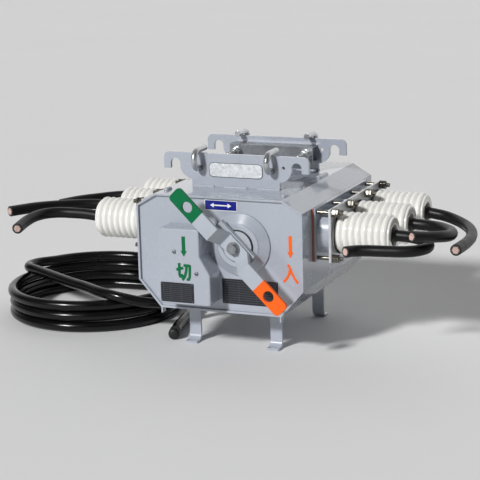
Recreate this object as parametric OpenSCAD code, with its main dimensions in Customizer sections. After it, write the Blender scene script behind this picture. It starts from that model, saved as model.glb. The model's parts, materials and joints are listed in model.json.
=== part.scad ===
// Pole-mounted gas load break switch: a sealed octagonal tank on four strip legs, with a two-armed
// operating lever, three bushings and leads on each side, a hanger and a coiled control cable.
// Front is -Y, up is +Z, and the origin is on the floor under the middle of the switch.

/* [Tank] */
// Width across the side walls
tank_w = 350; // [320:1:400]
// Height from the tank's floor to its roof
tank_h = 230; // [215:1:270]
// Length from rim to rim
tank_d = 408; // [380:1:460]
// Thickness of the tank's sheet
sheet_t = 4; // [2:0.5:6]
// Width of the slope between the roof and a side wall
roof_slope_w = 41; // [25:1:50]
// Height of the slope between the roof and a side wall
roof_slope_h = 24; // [14:1:26]
// Width of the slope between the floor and a side wall
floor_slope_w = 47; // [30:1:60]
// Height of the slope between the floor and a side wall
floor_slope_h = 54; // [35:1:70]
// Depth of the end plates inside the rim
rim_depth = 5; // [3:0.5:10]
// Thickness of the end plates
end_plate_t = 5; // [3:0.5:8]
// Width of the tabs under the front rim's lower corners
tab_w = 3; // [2:0.5:5]
// Depth of the tabs
tab_d = 15; // [10:1:30]
// Height of the tabs
tab_h = 11; // [8:1:15]

/* [Legs] */
// Clear height under the tank
leg_h = 85; // [75:1:120]
// Width of a leg strip
leg_w = 25; // [20:1:40]
// Thickness of a leg strip
leg_t = 4.5; // [3:0.5:6]
// Distance of a leg's middle from the middle plane, sideways
leg_x = 88; // [60:1:100]
// Distance of a front leg's outer face inside the rim
front_leg_inset = 72; // [60:1:90]
// Distance of a back leg's outer face inside the rim
back_leg_inset = 96; // [60:1:110]
// Inner radius of the curled foot
foot_r = 12; // [5:0.5:14]
// Length of the foot's flat lip
foot_flat = 10; // [4:1:12]
// Length of the welded flange under the tank
leg_flange = 30; // [20:1:40]

/* [Mechanism cover] */
// Depth of the cover
cover_d = 50; // [40:1:55]
// Left edge of the cover
cover_left = -108; // [-115:1:-100]
// Right edge of the cover's upper part
cover_neck = -21; // [-30:1:-20]
// Right edge of the cover's lower part
cover_right = 0; // [-10:1:0]
// Height of the cover's bottom edge above the tank's floor
cover_bottom = 22; // [15:1:30]
// Height of the cover's top edge above the tank's floor
cover_top = 173; // [165:1:185]
// Height where the cover starts to widen
cover_neck_z = 120; // [112:1:125]
// Height where the cover reaches its full width
cover_right_z = 84; // [78:1:88]
// Radius of the cover's corners
cover_corner_r = 6; // [4:1:10]
// Radius of the cover's front edge
cover_edge_r = 3; // [2:0.5:5]

/* [Operating lever] */
// Sideways place of the lever's shaft
hub_x = 45; // [42:1:50]
// Height of the lever's shaft above the tank's floor
hub_z = 138; // [132:1:142]
// Angle of the lever at rest, from level
lever_angle = 45; // [40:1:50]
// Radius of the boss where it meets the front plate
boss_r = 62; // [55:1:63]
// Radius of the boss at its front face
boss_top_r = 42; // [34:1:46]
// Height of the boss
boss_h = 15; // [12:1:20]
// Height of the boss's straight foot
boss_foot = 3; // [2:0.5:6]
// Size of the bevel round the boss's front face
boss_bevel = 2; // [1:0.5:4]
// Radius of the lever's shaft
shaft_r = 10; // [8:0.5:14]
// Running clearance round the shaft
shaft_clear = 0.05; // [0.02:0.01:0.09]
// Radius of the shaft's collar
collar_r = 30; // [22:1:32]
// Thickness of the shaft's collar
collar_t = 4; // [3:0.5:6]
// Gap between the collar and the boss
collar_gap = 0.3; // [0.2:0.1:0.6]
// Width of the lever strap
strap_w = 32; // [28:1:36]
// Thickness of the lever strap
strap_t = 6; // [4:0.5:8]
// Reach of the lever from its shaft to each tip
lever_reach = 155; // [140:1:165]
// Distance of the hook holes from the shaft
hook_hole_r = 115.5; // [100:0.5:125]
// Diameter of the hook holes
hook_hole_d = 22; // [16:1:24]
// Clear gap between the lever's arms and the mechanism cover
arm_gap = 9; // [8:1:15]
// Half length of the lever's flat middle
strap_flat = 27; // [24:1:30]
// Length of each sloping stretch of the strap
strap_slope = 20; // [14:1:24]
// Length of the stiffening channel
channel_l = 96; // [80:1:100]
// Distance of the channel's middle from the shaft, towards the lever's upper end
channel_shift = 8; // [0:1:8]
// Outer width of the stiffening channel
channel_w = 36; // [36:1:42]
// Depth of the channel, with its flanges towards the tank
channel_h = 10.5; // [8:0.5:12]
// Gap between the channel's flanges and the collar
flange_gap = 0.5; // [0.3:0.1:1]
// Thickness of the channel
channel_t = 4; // [3:0.5:4.5]
// Radius of the lever's bolt
bolt_r = 6; // [4:0.5:7]
// Width across the flats of the bolt's head
bolt_head_af = 18; // [16:1:22]
// Height of the bolt's head
bolt_head_h = 8; // [6:0.5:12]
// Radius of the bolt's washer
washer_r = 13; // [12:0.5:15]
// Thickness of the bolt's washer
washer_t = 2.5; // [1.5:0.5:4]

/* [Hanger] */
// Distance of each hanger plate's middle from the middle plane
hanger_y = 108; // [95:1:120]
// Thickness of a hanger plate
hanger_t = 6; // [4:0.5:9]
// Height of a hanger plate above the roof
hanger_h = 67; // [62:1:80]
// Half width of the plate between its hooks
hanger_half = 119; // [112:1:125]
// Half width of the plate's foot
hanger_foot_half = 94; // [85:1:97]
// Height of the plate's foot
hanger_foot_h = 15; // [10:1:18]
// Radius of the plate's lower corners
hanger_corner_r = 26; // [20:1:30]
// Width of the gap in a hook
hook_gap = 21; // [18:1:26]
// Width of a hook's arm
hook_arm_w = 15; // [12:1:18]
// Thickness of a hook over its gap
hook_bar_h = 12; // [10:1:14]
// Height of a hook from its tip to its top
hook_h = 33; // [28:1:36]
// Radius of a hook's outer corner
hook_corner_r = 12; // [8:1:12]
// Diameter of the small hole beside the right hook
eyelet_d = 7; // [4:0.5:9]
// Distance of the small hole outside the hook bolt
eyelet_out = 25; // [20:1:28]
// Height of the small hole above the hook bolt
eyelet_up = 7; // [0:1:12]

/* [Hook bolts] */
// Diameter of the hook bolts
hook_bolt_d = 12; // [10:1:14]
// Sideways place of the hook bolts
hook_bolt_x = 77; // [70:1:84]
// Height of the bolts' holes above the roof
hook_bolt_h = 37; // [35:1:40]
// Length of a bolt from its plate to its threaded end
hook_bolt_l = 78; // [60:1:90]
// Straight length of a bolt in front of its plate
hook_bolt_front = 8; // [6:1:12]
// Length of a bolt's hook behind its plate
hook_bolt_back = 22; // [15:1:26]
// Clearance of the bolts in their holes and over the plates
bolt_clear = 0.5; // [0.3:0.1:1]
// Half length of the clamp bars
bar_half = 92; // [88:1:100]
// Height of the clamp bars
bar_h = 34; // [28:1:38]
// Depth of the clamp bars
bar_d = 28; // [24:1:32]
// Thickness of the clamp bars
bar_t = 4; // [3:0.5:6]

/* [Roof studs] */
// Radius of the rounded studs on the roof
stud_r = 6; // [4:0.5:8]
// Sideways place of the studs
stud_x = 124; // [118:1:126]
// Length of the long studs
long_stud_l = 50; // [40:1:60]
// Distance of the long studs' middles behind the middle plane
long_stud_y = 46; // [40:1:60]
// Length of the short studs
short_stud_l = 24; // [18:1:30]
// Distance of the short studs' middles inside the front rim
short_stud_inset = 42; // [30:1:50]

/* [Bushings] */
// Spacing of the bushings
bushing_pitch = 108; // [96:1:110]
// Distance of the bushings' axes below the roof
bushing_drop = 76; // [75:1:84]
// Thickness of the pad on the side wall
pad_t = 8; // [4:0.5:10]
// Half length of the pad and of the clamp plate
pad_half = 153; // [152:1:165]
// Height of the pad and of the clamp plate
pad_h = 104; // [100:1:106]
// Radius of the right side's port collars
port_r = 42; // [36:1:43]
// Length of the right side's port collars
port_l = 26; // [20:1:40]
// Thickness of the clamp plate
clamp_t = 5; // [3:0.5:8]
// Length of an insulator outside the clamp plate
insulator_l = 113; // [90:1:130]
// Radius over an insulator's ribs
rib_r = 41; // [38:0.5:44]
// Depth of the grooves between the ribs
groove = 4; // [2:0.5:6]
// Number of ribs
ribs = 7; // [6:1:10]
// Radius of the mouth at an insulator's tip
mouth_r = 21; // [18:1:24]
// Depth of the mouth
mouth_d = 9; // [5:1:14]
// Radius of the rubber sleeve round a lead
sleeve_r = 15.5; // [13:0.5:17]
// Length of the rubber sleeve
sleeve_l = 15; // [10:1:20]
// Radius of the clamp studs
clamp_stud_r = 4; // [3:0.5:5]
// Width across the flats of the clamp studs' nuts
clamp_nut_af = 13; // [10:1:15]
// Height of the clamp studs' nuts
clamp_nut_h = 7; // [5:0.5:9]
// Length of a clamp stud beyond its nut
clamp_stud_end = 14; // [6:1:20]
// Distance of the studs' rows from the bushings' axes
clamp_row = 45; // [42:0.5:46]
// Distance of the end studs inside the bushings' span
clamp_end_inset = 18; // [12:1:20]

/* [Cables] */
// Diameter of the power leads
lead_d = 22; // [18:1:24]
// Diameter of the control cable
control_d = 22; // [18:1:22]
// Middle radius of the coil of control cable
coil_r = 177; // [170:1:185]
// Turns of the coil, lying on each other
coil_turns = 3; // [2:1:3]
// Radius of the cable gland
gland_r = 17; // [14:0.5:20]
// Height of the gland's nose above the floor
gland_h = 49; // [44:1:52]
// Wall of the gland's nose round the cable
gland_lip = 3; // [2:0.5:4]

/* [Hidden] */
$fn = 48;

PAINT = [0.64, 0.68, 0.73];
GALVANISED = [0.62, 0.63, 0.64];
CERAMIC = [0.92, 0.92, 0.88];
RUBBER = [0.09, 0.09, 0.09];
STEEL = [0.7, 0.7, 0.7];

// Cutters run this far past the faces that they open
cut = 1;

// Planes and levels, from the tank's middle and its floor
rim_y = tank_d / 2;
face_y = rim_y - rim_depth;
arm_n = cover_d + arm_gap;
collar_n = boss_h + collar_gap + collar_t;
strap_n = collar_n + flange_gap + channel_h;
web_n = strap_n - channel_t;
bolt_play = 0.3;
bolt_hole_r = bolt_r + bolt_play;
arm_front_y = -face_y - arm_n - strap_t;

// Corners of the tank's cross section, from the lower end of the right wall, anticlockwise
section = [
    [tank_w / 2, floor_slope_h],
    [tank_w / 2, tank_h - roof_slope_h],
    [tank_w / 2 - roof_slope_w, tank_h],
    [-tank_w / 2 + roof_slope_w, tank_h],
    [-tank_w / 2, tank_h - roof_slope_h],
    [-tank_w / 2, floor_slope_h],
    [-tank_w / 2 + floor_slope_w, 0],
    [tank_w / 2 - floor_slope_w, 0]
];

// Hanger levels above the tank's floor
hanger_top = tank_h + hanger_h;
hook_bolt_z = tank_h + hook_bolt_h;
hook_bolt_r = hook_bolt_d / 2;
hook_top_z = hanger_top + bolt_clear + hook_bolt_r;
hook_bend_r = (hook_top_z - hook_bolt_z) / 2;

// Bushing stations along X, from the middle plane outwards
bushing_z = tank_h - bushing_drop;
pad_x = tank_w / 2 + pad_t;
end_row = bushing_pitch * 1.5 - clamp_end_inset;
stud_rows = [-end_row, -bushing_pitch / 2, bushing_pitch / 2, end_row];

// Stations of the clamp plate, the tips and the sleeves: the right clamp plate lies on the ports,
// and the left one on its pad
function clamp_foot(side) = side > 0 ? pad_x + port_l : pad_x;
function clamp_x(side) = clamp_foot(side) + clamp_t;
function tip_x(side) = clamp_x(side) + insulator_l;
function sleeve_x(side) = tip_x(side) - mouth_d + sleeve_l;

// Middle of the switch without its cables
middle_x = (sleeve_x(1) - sleeve_x(-1)) / 2;
middle_y = (arm_front_y + rim_y) / 2;

// Gland under the tank, and the coil beside it
gland_place = [-62, 16];
gland_drop = leg_h - gland_h;
gland_nose = 48;
coil_centre = [-393, 21];
coil_slack = 4;

// Routes of the leads, from the end of each sleeve
right_front_route = [
    [0, 0, 0], [28, -2, -1], [52, -11, -3], [70, -30, -5], [76, -56, -6], [65, -79, -7],
    [40, -92, -8], [7, -98, -8], [-26, -103, -8], [-48, -111, -8], [-60, -128, -7]
];
right_middle_route = [
    [0, 0, 0], [30, -3, -1], [58, -17, 0], [83, -45, 2], [101, -84, 6],
    [106, -123, 10], [96, -158, 15], [79, -188, 20], [62, -214, 25]
];
right_back_route = [
    [0, 0, 0], [32, -4, -4], [61, -20, -8], [89, -52, -10], [111, -94, -10],
    [125, -142, -10], [131, -190, -9], [133, -236, -7], [132, -276, -6]
];
left_front_route = [
    [0, 0, 0], [-32, -1, 3], [-62, -4, 4], [-90, -12, 5], [-111, -29, 5],
    [-121, -55, 4], [-122, -84, 2], [-118, -114, 0], [-112, -144, -2]
];
left_middle_route = [
    [0, 0, 0], [-33, -2, 0], [-68, -12, 2], [-104, -32, 3], [-135, -57, 4],
    [-160, -84, 5], [-179, -111, 5], [-195, -138, 5]
];
left_back_route = [
    [0, 0, 0], [-36, -2, -1], [-68, -12, -2], [-98, -30, -4], [-123, -52, -5],
    [-142, -76, -6], [-156, -100, -7]
];

// Route of the control cable from its gland, across the coil and round its top, and of its tail,
// with heights above the floor
control_route = [
    [gland_place[0] - gland_nose, gland_place[1], gland_h], [-130, 12, 49], [-152, -10, 50],
    [-170, -42, 52], [-188, -76, 56], [-212, -105, 62], [-245, -122, 71], [-280, -124, 77],
    [-318, -109, 78], [-360, -83, 78], [-405, -58, 77], [-450, -32, 77], [-495, -5, 77],
    [-537, 20, 77], [-561, 33, 77], [-574, 49, 77], [-575, 68, 77], [-567, 88, 77],
    [-546, 110, 77], [-518, 146, 77], [-481, 174, 77], [-439, 192, 77], [-393, 198, 77],
    [-347, 192, 76], [-304, 174, 74], [-268, 146, 70], [-240, 110, 63]
];
tail_route = [
    [-335, 200, 11], [-296, 189, 11], [-252, 162, 11], [-210, 127, 11], [-180, 78, 11],
    [-167, 21, 11], [-160, -35, 11], [-149, -87, 11], [-135, -134, 11]
];

// Unit vector along a vector
function unit(v) = v / norm(v);

// Inward normal of the edge from a to b of an anticlockwise outline
function edge_normal(a, b) = unit([a[1] - b[1], b[0] - a[0]]);

// Outline moved inwards by d
function inset(points, d) = [
    for (i = [0 : len(points) - 1])
        let (
            before = points[(i + len(points) - 1) % len(points)],
            after = points[(i + 1) % len(points)],
            n1 = edge_normal(before, points[i]),
            n2 = edge_normal(points[i], after)
        )
        points[i] + d * (n1 + n2) / (1 + n1 * n2)
];

// Outline with its corners rounded by r, with steps points on each corner
function rounded(points, r, steps) = [
    for (i = [0 : len(points) - 1])
        let (
            corner = points[i],
            u = unit(points[(i + len(points) - 1) % len(points)] - corner),
            v = unit(points[(i + 1) % len(points)] - corner),
            half = acos(u * v) / 2,
            middle = corner + unit(u + v) * r / sin(half),
            a = corner + u * r / tan(half) - middle,
            b = corner + v * r / tan(half) - middle,
            turn = acos(max(-1, min(1, a * b / (r * r))))
        )
        for (s = [0 : steps])
            middle + (a * sin(turn * (1 - s / steps)) + b * sin(turn * s / steps)) / sin(turn)
];

// Faces of a closed skin over rings of n points each
function skin_faces(rings, n) = concat(
    [[for (j = [0 : n - 1]) j]],
    [
        for (k = [0 : rings - 2])
            for (j = [0 : n - 1])
                [k * n + (j + 1) % n, k * n + j, (k + 1) * n + j]
    ],
    [
        for (k = [0 : rings - 2])
            for (j = [0 : n - 1])
                [k * n + (j + 1) % n, (k + 1) * n + j, (k + 1) * n + (j + 1) % n]
    ],
    [[for (j = [n - 1 : -1 : 0]) (rings - 1) * n + j]]
);

// Puts a piece drawn from the tank's middle and floor into the part's frame
module place() {
    translate([-middle_x, -middle_y, leg_h]) children();
}

// Puts a piece drawn from the tank's middle, with heights above the floor, into the part's frame
module on_floor() {
    translate([-middle_x, -middle_y, 0]) children();
}

// Draws an outline in X and Z as a solid with its middle at y
module upright(y, thickness) {
    translate([0, y, 0]) rotate([90, 0, 0]) linear_extrude(thickness, center = true) children();
}

// Tube along a route, with its first ring square to a given direction or to the route
module tube(route, d, start = undef, sides = 10) {
    count = len(route);
    rings = [
        for (i = [0 : count - 1])
            let (
                ahead = unit(route[min(i + 1, count - 1)] - route[max(i - 1, 0)]),
                along = i == 0 && !is_undef(start) ? start : ahead,
                side = unit(cross(along, [0, 0, 1])),
                top = cross(side, along)
            )
            for (j = [0 : sides - 1])
                route[i] + (side * cos(360 * j / sides) + top * sin(360 * j / sides)) * d / 2
    ];
    polyhedron(rings, skin_faces(count, sides));
}

// Sheet of the tank between two corners of its section
module tank_sheet(first, last) {
    inner = inset(section, sheet_t);
    color(PAINT) place() upright(0, tank_d) polygon(concat(
        [for (i = [first : last]) section[i % 8]],
        [for (i = [last : -1 : first]) inner[i % 8]]
    ));
}

module roof_panel() {
    tank_sheet(1, 4);
}

module left_wall() {
    tank_sheet(4, 5);
}

module right_wall() {
    tank_sheet(0, 1);
}

module floor_pan() {
    corner_x = tank_w / 2 - floor_slope_w;
    tank_sheet(5, 8);
    color(PAINT) place() for (x = [-corner_x, corner_x - tab_w])
        translate([x, -rim_y, -tab_h]) cube([tab_w, tab_d, tab_h + cut]);
}

module end_plate(side) {
    color(PAINT) place()
        upright(side * (face_y - end_plate_t / 2), end_plate_t) polygon(inset(section, sheet_t));
}

module front_plate() {
    end_plate(-1);
}

module back_plate() {
    end_plate(1);
}

// Strip leg with a welded flange under the tank and a foot curled outwards
module leg(side, end) {
    bend_z = -leg_h + foot_r + leg_t;
    outer_y = rim_y - (end < 0 ? front_leg_inset : back_leg_inset);
    color(PAINT) place() translate([side * leg_x, end * outer_y, 0])
        rotate([90, 0, end * 90]) linear_extrude(leg_w, center = true) {
            translate([-leg_t, bend_z]) square([leg_t, -bend_z]);
            translate([-leg_flange, -leg_t]) square([leg_flange, leg_t]);
            translate([foot_r, bend_z]) intersection() {
                difference() {
                    circle(foot_r + leg_t);
                    circle(foot_r);
                }
                translate([-foot_r - leg_t, -foot_r - leg_t]) square(foot_r + leg_t);
            }
            translate([foot_r, -leg_h]) square([foot_flat, leg_t]);
        }
}

module front_left_leg() {
    leg(-1, -1);
}

module front_right_leg() {
    leg(1, -1);
}

module back_left_leg() {
    leg(-1, 1);
}

module back_right_leg() {
    leg(1, 1);
}

// Moulded cover with rounded corners and a rounded front edge
module mechanism_cover() {
    outline = [
        [cover_left, cover_bottom], [cover_right, cover_bottom], [cover_right, cover_right_z],
        [cover_neck, cover_neck_z], [cover_neck, cover_top], [cover_left, cover_top]
    ];
    steps = 4;
    layers = concat(
        [[0, 0]],
        [for (a = [0 : 22.5 : 90]) [cover_d - cover_edge_r * (1 - sin(a)), cover_edge_r * (1 - cos(a))]]
    );
    corners = len(outline) * (steps + 1);
    points = [
        for (layer = layers)
            for (p = rounded(inset(outline, layer[1]), cover_corner_r, steps))
                [p[0], -face_y - layer[0], p[1]]
    ];
    color(PAINT) place() polyhedron(points, skin_faces(len(layers), corners));
}

// Puts a piece of the lever on its shaft's axis: X along the lever, Z forwards
module on_hub() {
    place() translate([hub_x, -face_y, hub_z]) rotate([90, 0, 0]) children();
}

module on_lever() {
    on_hub() rotate(-lever_angle) children();
}

module lever_boss() {
    color(PAINT) on_hub() rotate_extrude() polygon([
        [shaft_r + shaft_clear, 0], [boss_r, 0], [boss_r, boss_foot],
        [boss_top_r + boss_bevel, boss_h - boss_bevel], [boss_top_r, boss_h],
        [shaft_r + shaft_clear, boss_h]
    ]);
}

module lever_shaft() {
    color(STEEL) on_lever() difference() {
        union() {
            translate([0, 0, collar_gap]) cylinder(h = web_n - collar_gap, r = shaft_r);
            translate([0, 0, boss_h + collar_gap]) cylinder(h = collar_t, r = collar_r);
        }
        translate([0, 0, boss_h - cut]) cylinder(h = web_n - boss_h + 2 * cut, r = bolt_hole_r);
    }
}

module lever_channel() {
    color(STEEL) on_lever() difference() {
        translate([-channel_l / 2 - channel_shift, 0, 0]) rotate([90, 0, 90]) linear_extrude(channel_l)
            difference() {
                translate([-channel_w / 2, strap_n - channel_h]) square([channel_w, channel_h]);
                translate([-channel_w / 2 + channel_t, web_n - channel_h])
                    square([channel_w - 2 * channel_t, channel_h]);
            }
        translate([0, 0, web_n - cut]) cylinder(h = channel_t + 2 * cut, r = bolt_hole_r);
    }
}

// Strap bent forwards in two joggles so that both arms pass in front of the cover
module lever_strap() {
    bend_shift = strap_t * tan(atan2(arm_n - strap_n, strap_slope) / 2);
    slope_end = strap_flat + strap_slope;
    half = [
        [lever_reach, arm_n], [slope_end, arm_n], [strap_flat, strap_n]
    ];
    half_front = [
        [strap_flat - bend_shift, strap_n + strap_t], [slope_end - bend_shift, arm_n + strap_t],
        [lever_reach, arm_n + strap_t]
    ];
    color(STEEL) on_lever() difference() {
        intersection() {
            rotate([90, 0, 0]) linear_extrude(strap_w, center = true) polygon(concat(
                half,
                [for (i = [len(half) - 1 : -1 : 0]) [-half[i][0], half[i][1]]],
                [for (i = [len(half_front) - 1 : -1 : 0]) [-half_front[i][0], half_front[i][1]]],
                half_front
            ));
            linear_extrude(arm_n + 2 * strap_t) polygon(rounded([
                [lever_reach, -strap_w / 2], [lever_reach, strap_w / 2],
                [-lever_reach, strap_w / 2], [-lever_reach, -strap_w / 2]
            ], strap_w / 4, 6));
        }
        for (side = [-1, 1])
            translate([side * hook_hole_r, 0, arm_n - cut])
                cylinder(h = strap_t + 2 * cut, d = hook_hole_d);
        translate([0, 0, strap_n - cut]) cylinder(h = strap_t + 2 * cut, r = bolt_hole_r);
    }
}

module lever_bolt() {
    seat = strap_n + strap_t;
    color(STEEL) on_lever() {
        translate([0, 0, boss_h]) cylinder(h = seat - boss_h, r = bolt_r);
        translate([0, 0, seat]) cylinder(h = washer_t, r = washer_r);
        translate([0, 0, seat + washer_t])
            cylinder(h = bolt_head_h, r = bolt_head_af / sqrt(3), $fn = 6);
    }
}

// Half of a hanger plate's outline, for X above zero
module hanger_half_outline() {
    hook_out = hanger_half + hook_gap + hook_arm_w;
    gap_x = hanger_half + hook_gap / 2;
    gap_z = hanger_top - hook_bar_h - hook_gap / 2;
    foot_top = tank_h + hanger_foot_h;
    translate([0, foot_top]) square([hanger_half - hanger_corner_r, hanger_h - hanger_foot_h]);
    translate([0, foot_top + hanger_corner_r])
        square([hanger_half, hanger_h - hanger_foot_h - hanger_corner_r]);
    translate([hanger_half - hanger_corner_r, foot_top + hanger_corner_r]) circle(hanger_corner_r);
    translate([0, tank_h]) square([hanger_foot_half, hanger_foot_h + cut]);
    difference() {
        union() {
            translate([hanger_half - cut, hanger_top - hook_h])
                square([hook_out - hook_corner_r - hanger_half + cut, hook_h]);
            translate([hanger_half, hanger_top - hook_h])
                square([hook_out - hanger_half, hook_h - hook_corner_r]);
            translate([hook_out - hook_corner_r, hanger_top - hook_corner_r]) circle(hook_corner_r);
        }
        translate([gap_x, gap_z]) circle(d = hook_gap);
        translate([hanger_half, hanger_top - hook_h - cut])
            square([hook_gap, gap_z - hanger_top + hook_h + cut]);
    }
}

// Hanger plate with a hook at each end
module hanger(end) {
    color(PAINT) place() difference() {
        upright(end * hanger_y, hanger_t) union() {
            hanger_half_outline();
            mirror([1, 0]) hanger_half_outline();
        }
        for (side = [-1, 1])
            translate([side * hook_bolt_x, end * hanger_y, hook_bolt_z]) rotate([90, 0, 0])
                cylinder(h = hanger_t + 2 * cut, r = hook_bolt_r + bolt_clear, center = true);
        translate([hook_bolt_x + eyelet_out, end * hanger_y, hook_bolt_z + eyelet_up]) rotate([90, 0, 0])
            cylinder(h = hanger_t + 2 * cut, d = eyelet_d, center = true);
    }
}

module front_hanger() {
    hanger(-1);
}

module back_hanger() {
    hanger(1);
}

// Channel behind a hanger plate that spreads the hook bolts' pull
module clamp_bar(end) {
    seat = hanger_y - hanger_t / 2;
    color(GALVANISED) place() rotate(end > 0 ? 0 : 180) difference() {
        translate([-bar_half, seat - bar_d, hook_bolt_z - bar_h / 2])
            cube([2 * bar_half, bar_d, bar_h]);
        translate([-bar_half - cut, seat - bar_d + bar_t, hook_bolt_z - bar_h / 2 + bar_t])
            cube([2 * bar_half + 2 * cut, bar_d, bar_h - 2 * bar_t]);
        for (side = [-1, 1])
            translate([side * hook_bolt_x, seat - bar_d - cut, hook_bolt_z]) rotate([-90, 0, 0])
                cylinder(h = bar_t + 2 * cut, r = hook_bolt_r + bolt_clear);
    }
}

module front_clamp_bar() {
    clamp_bar(-1);
}

module back_clamp_bar() {
    clamp_bar(1);
}

// Round bolt bent into a hook that reaches over the hanger plate's top edge
module hook_bolt(side, end) {
    outside = hanger_t / 2 + hook_bolt_front;
    color(STEEL) place() translate([side * hook_bolt_x, end * hanger_y, hook_bolt_z])
        rotate(end > 0 ? 0 : 180) {
            translate([0, -hanger_t / 2 - hook_bolt_l, 0]) rotate([-90, 0, 0])
                cylinder(h = hook_bolt_l + hanger_t / 2 + outside, r = hook_bolt_r);
            translate([0, outside, hook_bend_r]) rotate([0, 90, 0])
                rotate_extrude(angle = 180) translate([hook_bend_r, 0]) circle(hook_bolt_r);
            translate([0, -hanger_t / 2 - hook_bolt_back, 2 * hook_bend_r]) rotate([-90, 0, 0])
                cylinder(h = hook_bolt_back + hanger_t / 2 + outside, r = hook_bolt_r);
        }
}

module front_left_hook_bolt() {
    hook_bolt(-1, -1);
}

module front_right_hook_bolt() {
    hook_bolt(1, -1);
}

module back_left_hook_bolt() {
    hook_bolt(-1, 1);
}

module back_right_hook_bolt() {
    hook_bolt(1, 1);
}

// Rounded stud lying on the roof, with its flat side down
module roof_stud(x, y, length) {
    translate([x, y, tank_h]) intersection() {
        union() {
            rotate([90, 0, 0]) cylinder(h = length - 2 * stud_r, r = stud_r, center = true);
            for (end = [-1, 1])
                translate([0, end * (length / 2 - stud_r), 0]) sphere(stud_r);
        }
        translate([-stud_r - cut, -length / 2 - cut, 0])
            cube([2 * stud_r + 2 * cut, length + 2 * cut, stud_r + cut]);
    }
}

module roof_studs() {
    color(PAINT) place() for (side = [-1, 1]) {
        roof_stud(side * stud_x, long_stud_y, long_stud_l);
        roof_stud(side * stud_x, short_stud_inset - rim_y, short_stud_l);
    }
}

// Puts a bushing's piece on a side wall: Z runs outwards from the middle plane
module on_side(side, y) {
    place() translate([0, y, bushing_z]) rotate([0, side * 90, 0]) children();
}

// Flat plate on the side wall, from one station to another
module side_plate(side, from, thickness) {
    on_side(side, 0) translate([-pad_h / 2, -pad_half, from]) cube([pad_h, 2 * pad_half, thickness]);
}

module left_pad() {
    color(PAINT) side_plate(-1, tank_w / 2, pad_t);
}

module right_pad() {
    color(PAINT) side_plate(1, tank_w / 2, pad_t);
}

module right_ports() {
    color(PAINT) for (i = [-1 : 1])
        on_side(1, i * bushing_pitch) translate([0, 0, pad_x]) cylinder(h = port_l, r = port_r);
}

module clamp_plate(side) {
    color(GALVANISED) difference() {
        side_plate(side, clamp_foot(side), clamp_t);
        for (y = stud_rows)
            for (row = [-1, 1])
                on_side(side, y) translate([row * clamp_row, 0, clamp_foot(side) - cut])
                    cylinder(h = clamp_t + 2 * cut, r = clamp_stud_r + bolt_clear);
    }
}

module left_clamp_plate() {
    clamp_plate(-1);
}

module right_clamp_plate() {
    clamp_plate(1);
}

module clamp_studs(side) {
    end_x = clamp_x(side) + clamp_nut_h + clamp_stud_end;
    color(STEEL) for (y = stud_rows)
        for (row = [-1, 1])
            on_side(side, y) translate([row * clamp_row, 0, 0]) {
                translate([0, 0, pad_x]) cylinder(h = end_x - pad_x, r = clamp_stud_r);
                translate([0, 0, clamp_x(side)]) rotate(30)
                    cylinder(h = clamp_nut_h, r = clamp_nut_af / sqrt(3), $fn = 6);
            }
}

module left_clamp_studs() {
    clamp_studs(-1);
}

module right_clamp_studs() {
    clamp_studs(1);
}

// Glazed insulator with rounded ribs and a hollow mouth at its tip
module insulator(side, station) {
    pitch = insulator_l / ribs;
    steps = 6;
    root = rib_r - groove;
    foot = clamp_x(side);
    tip = tip_x(side);
    ribbed = [
        for (i = [0 : ribs - 1])
            for (s = [0 : steps - 1])
                [root + groove * sin(180 * s / steps), foot + (i + s / steps) * pitch]
    ];
    color(CERAMIC) on_side(side, station * bushing_pitch) rotate_extrude() polygon(concat(
        [[0, foot]],
        ribbed,
        [[root - groove, tip], [mouth_r, tip], [mouth_r, tip - mouth_d], [0, tip - mouth_d]]
    ));
}

module left_front_insulator() {
    insulator(-1, -1);
}

module left_middle_insulator() {
    insulator(-1, 0);
}

module left_back_insulator() {
    insulator(-1, 1);
}

module right_front_insulator() {
    insulator(1, -1);
}

module right_middle_insulator() {
    insulator(1, 0);
}

module right_back_insulator() {
    insulator(1, 1);
}

module sleeves(side) {
    color(RUBBER) for (i = [-1 : 1])
        on_side(side, i * bushing_pitch) translate([0, 0, tip_x(side) - mouth_d])
            cylinder(h = sleeve_l, r = sleeve_r);
}

module left_sleeves() {
    sleeves(-1);
}

module right_sleeves() {
    sleeves(1);
}

// Elbow gland under the tank, with a tapered nose that the control cable leaves
module cable_gland() {
    neck = control_d / 2 + gland_lip;
    color(RUBBER) place() translate([gland_place[0], gland_place[1], -gland_drop]) {
        cylinder(h = gland_drop, r = gland_r);
        sphere(gland_r);
        rotate([0, -90, 0]) cylinder(h = gland_nose / 2, r = gland_r);
        rotate([0, -90, 0]) translate([0, 0, gland_nose / 2])
            cylinder(h = gland_nose / 2, r1 = gland_r, r2 = neck);
    }
}

// Power lead from the end of a bushing's sleeve
module lead(side, station, route) {
    color(RUBBER) place() translate([side * sleeve_x(side), station * bushing_pitch, bushing_z])
        tube(route, lead_d, [side, 0, 0]);
}

module left_front_lead() {
    lead(-1, -1, left_front_route);
}

module left_middle_lead() {
    lead(-1, 0, left_middle_route);
}

module left_back_lead() {
    lead(-1, 1, left_back_route);
}

module right_front_lead() {
    lead(1, -1, right_front_route);
}

module right_middle_lead() {
    lead(1, 0, right_middle_route);
}

module right_back_lead() {
    lead(1, 1, right_back_route);
}

module control_cable() {
    color(RUBBER) on_floor() tube(control_route, control_d, [-1, 0, 0]);
}

// Outer shape of the coil that the control cable is wound into
module control_coil() {
    half = control_d / 2 + coil_slack;
    height = coil_turns * control_d;
    color(RUBBER) on_floor() translate(coil_centre)
        rotate_extrude($fn = 72) translate([coil_r - half, 0]) square([2 * half, height]);
}

// End of the control cable that runs out of the coil under the tank
module control_tail() {
    color(RUBBER) on_floor() tube(tail_route, control_d);
}

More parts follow.
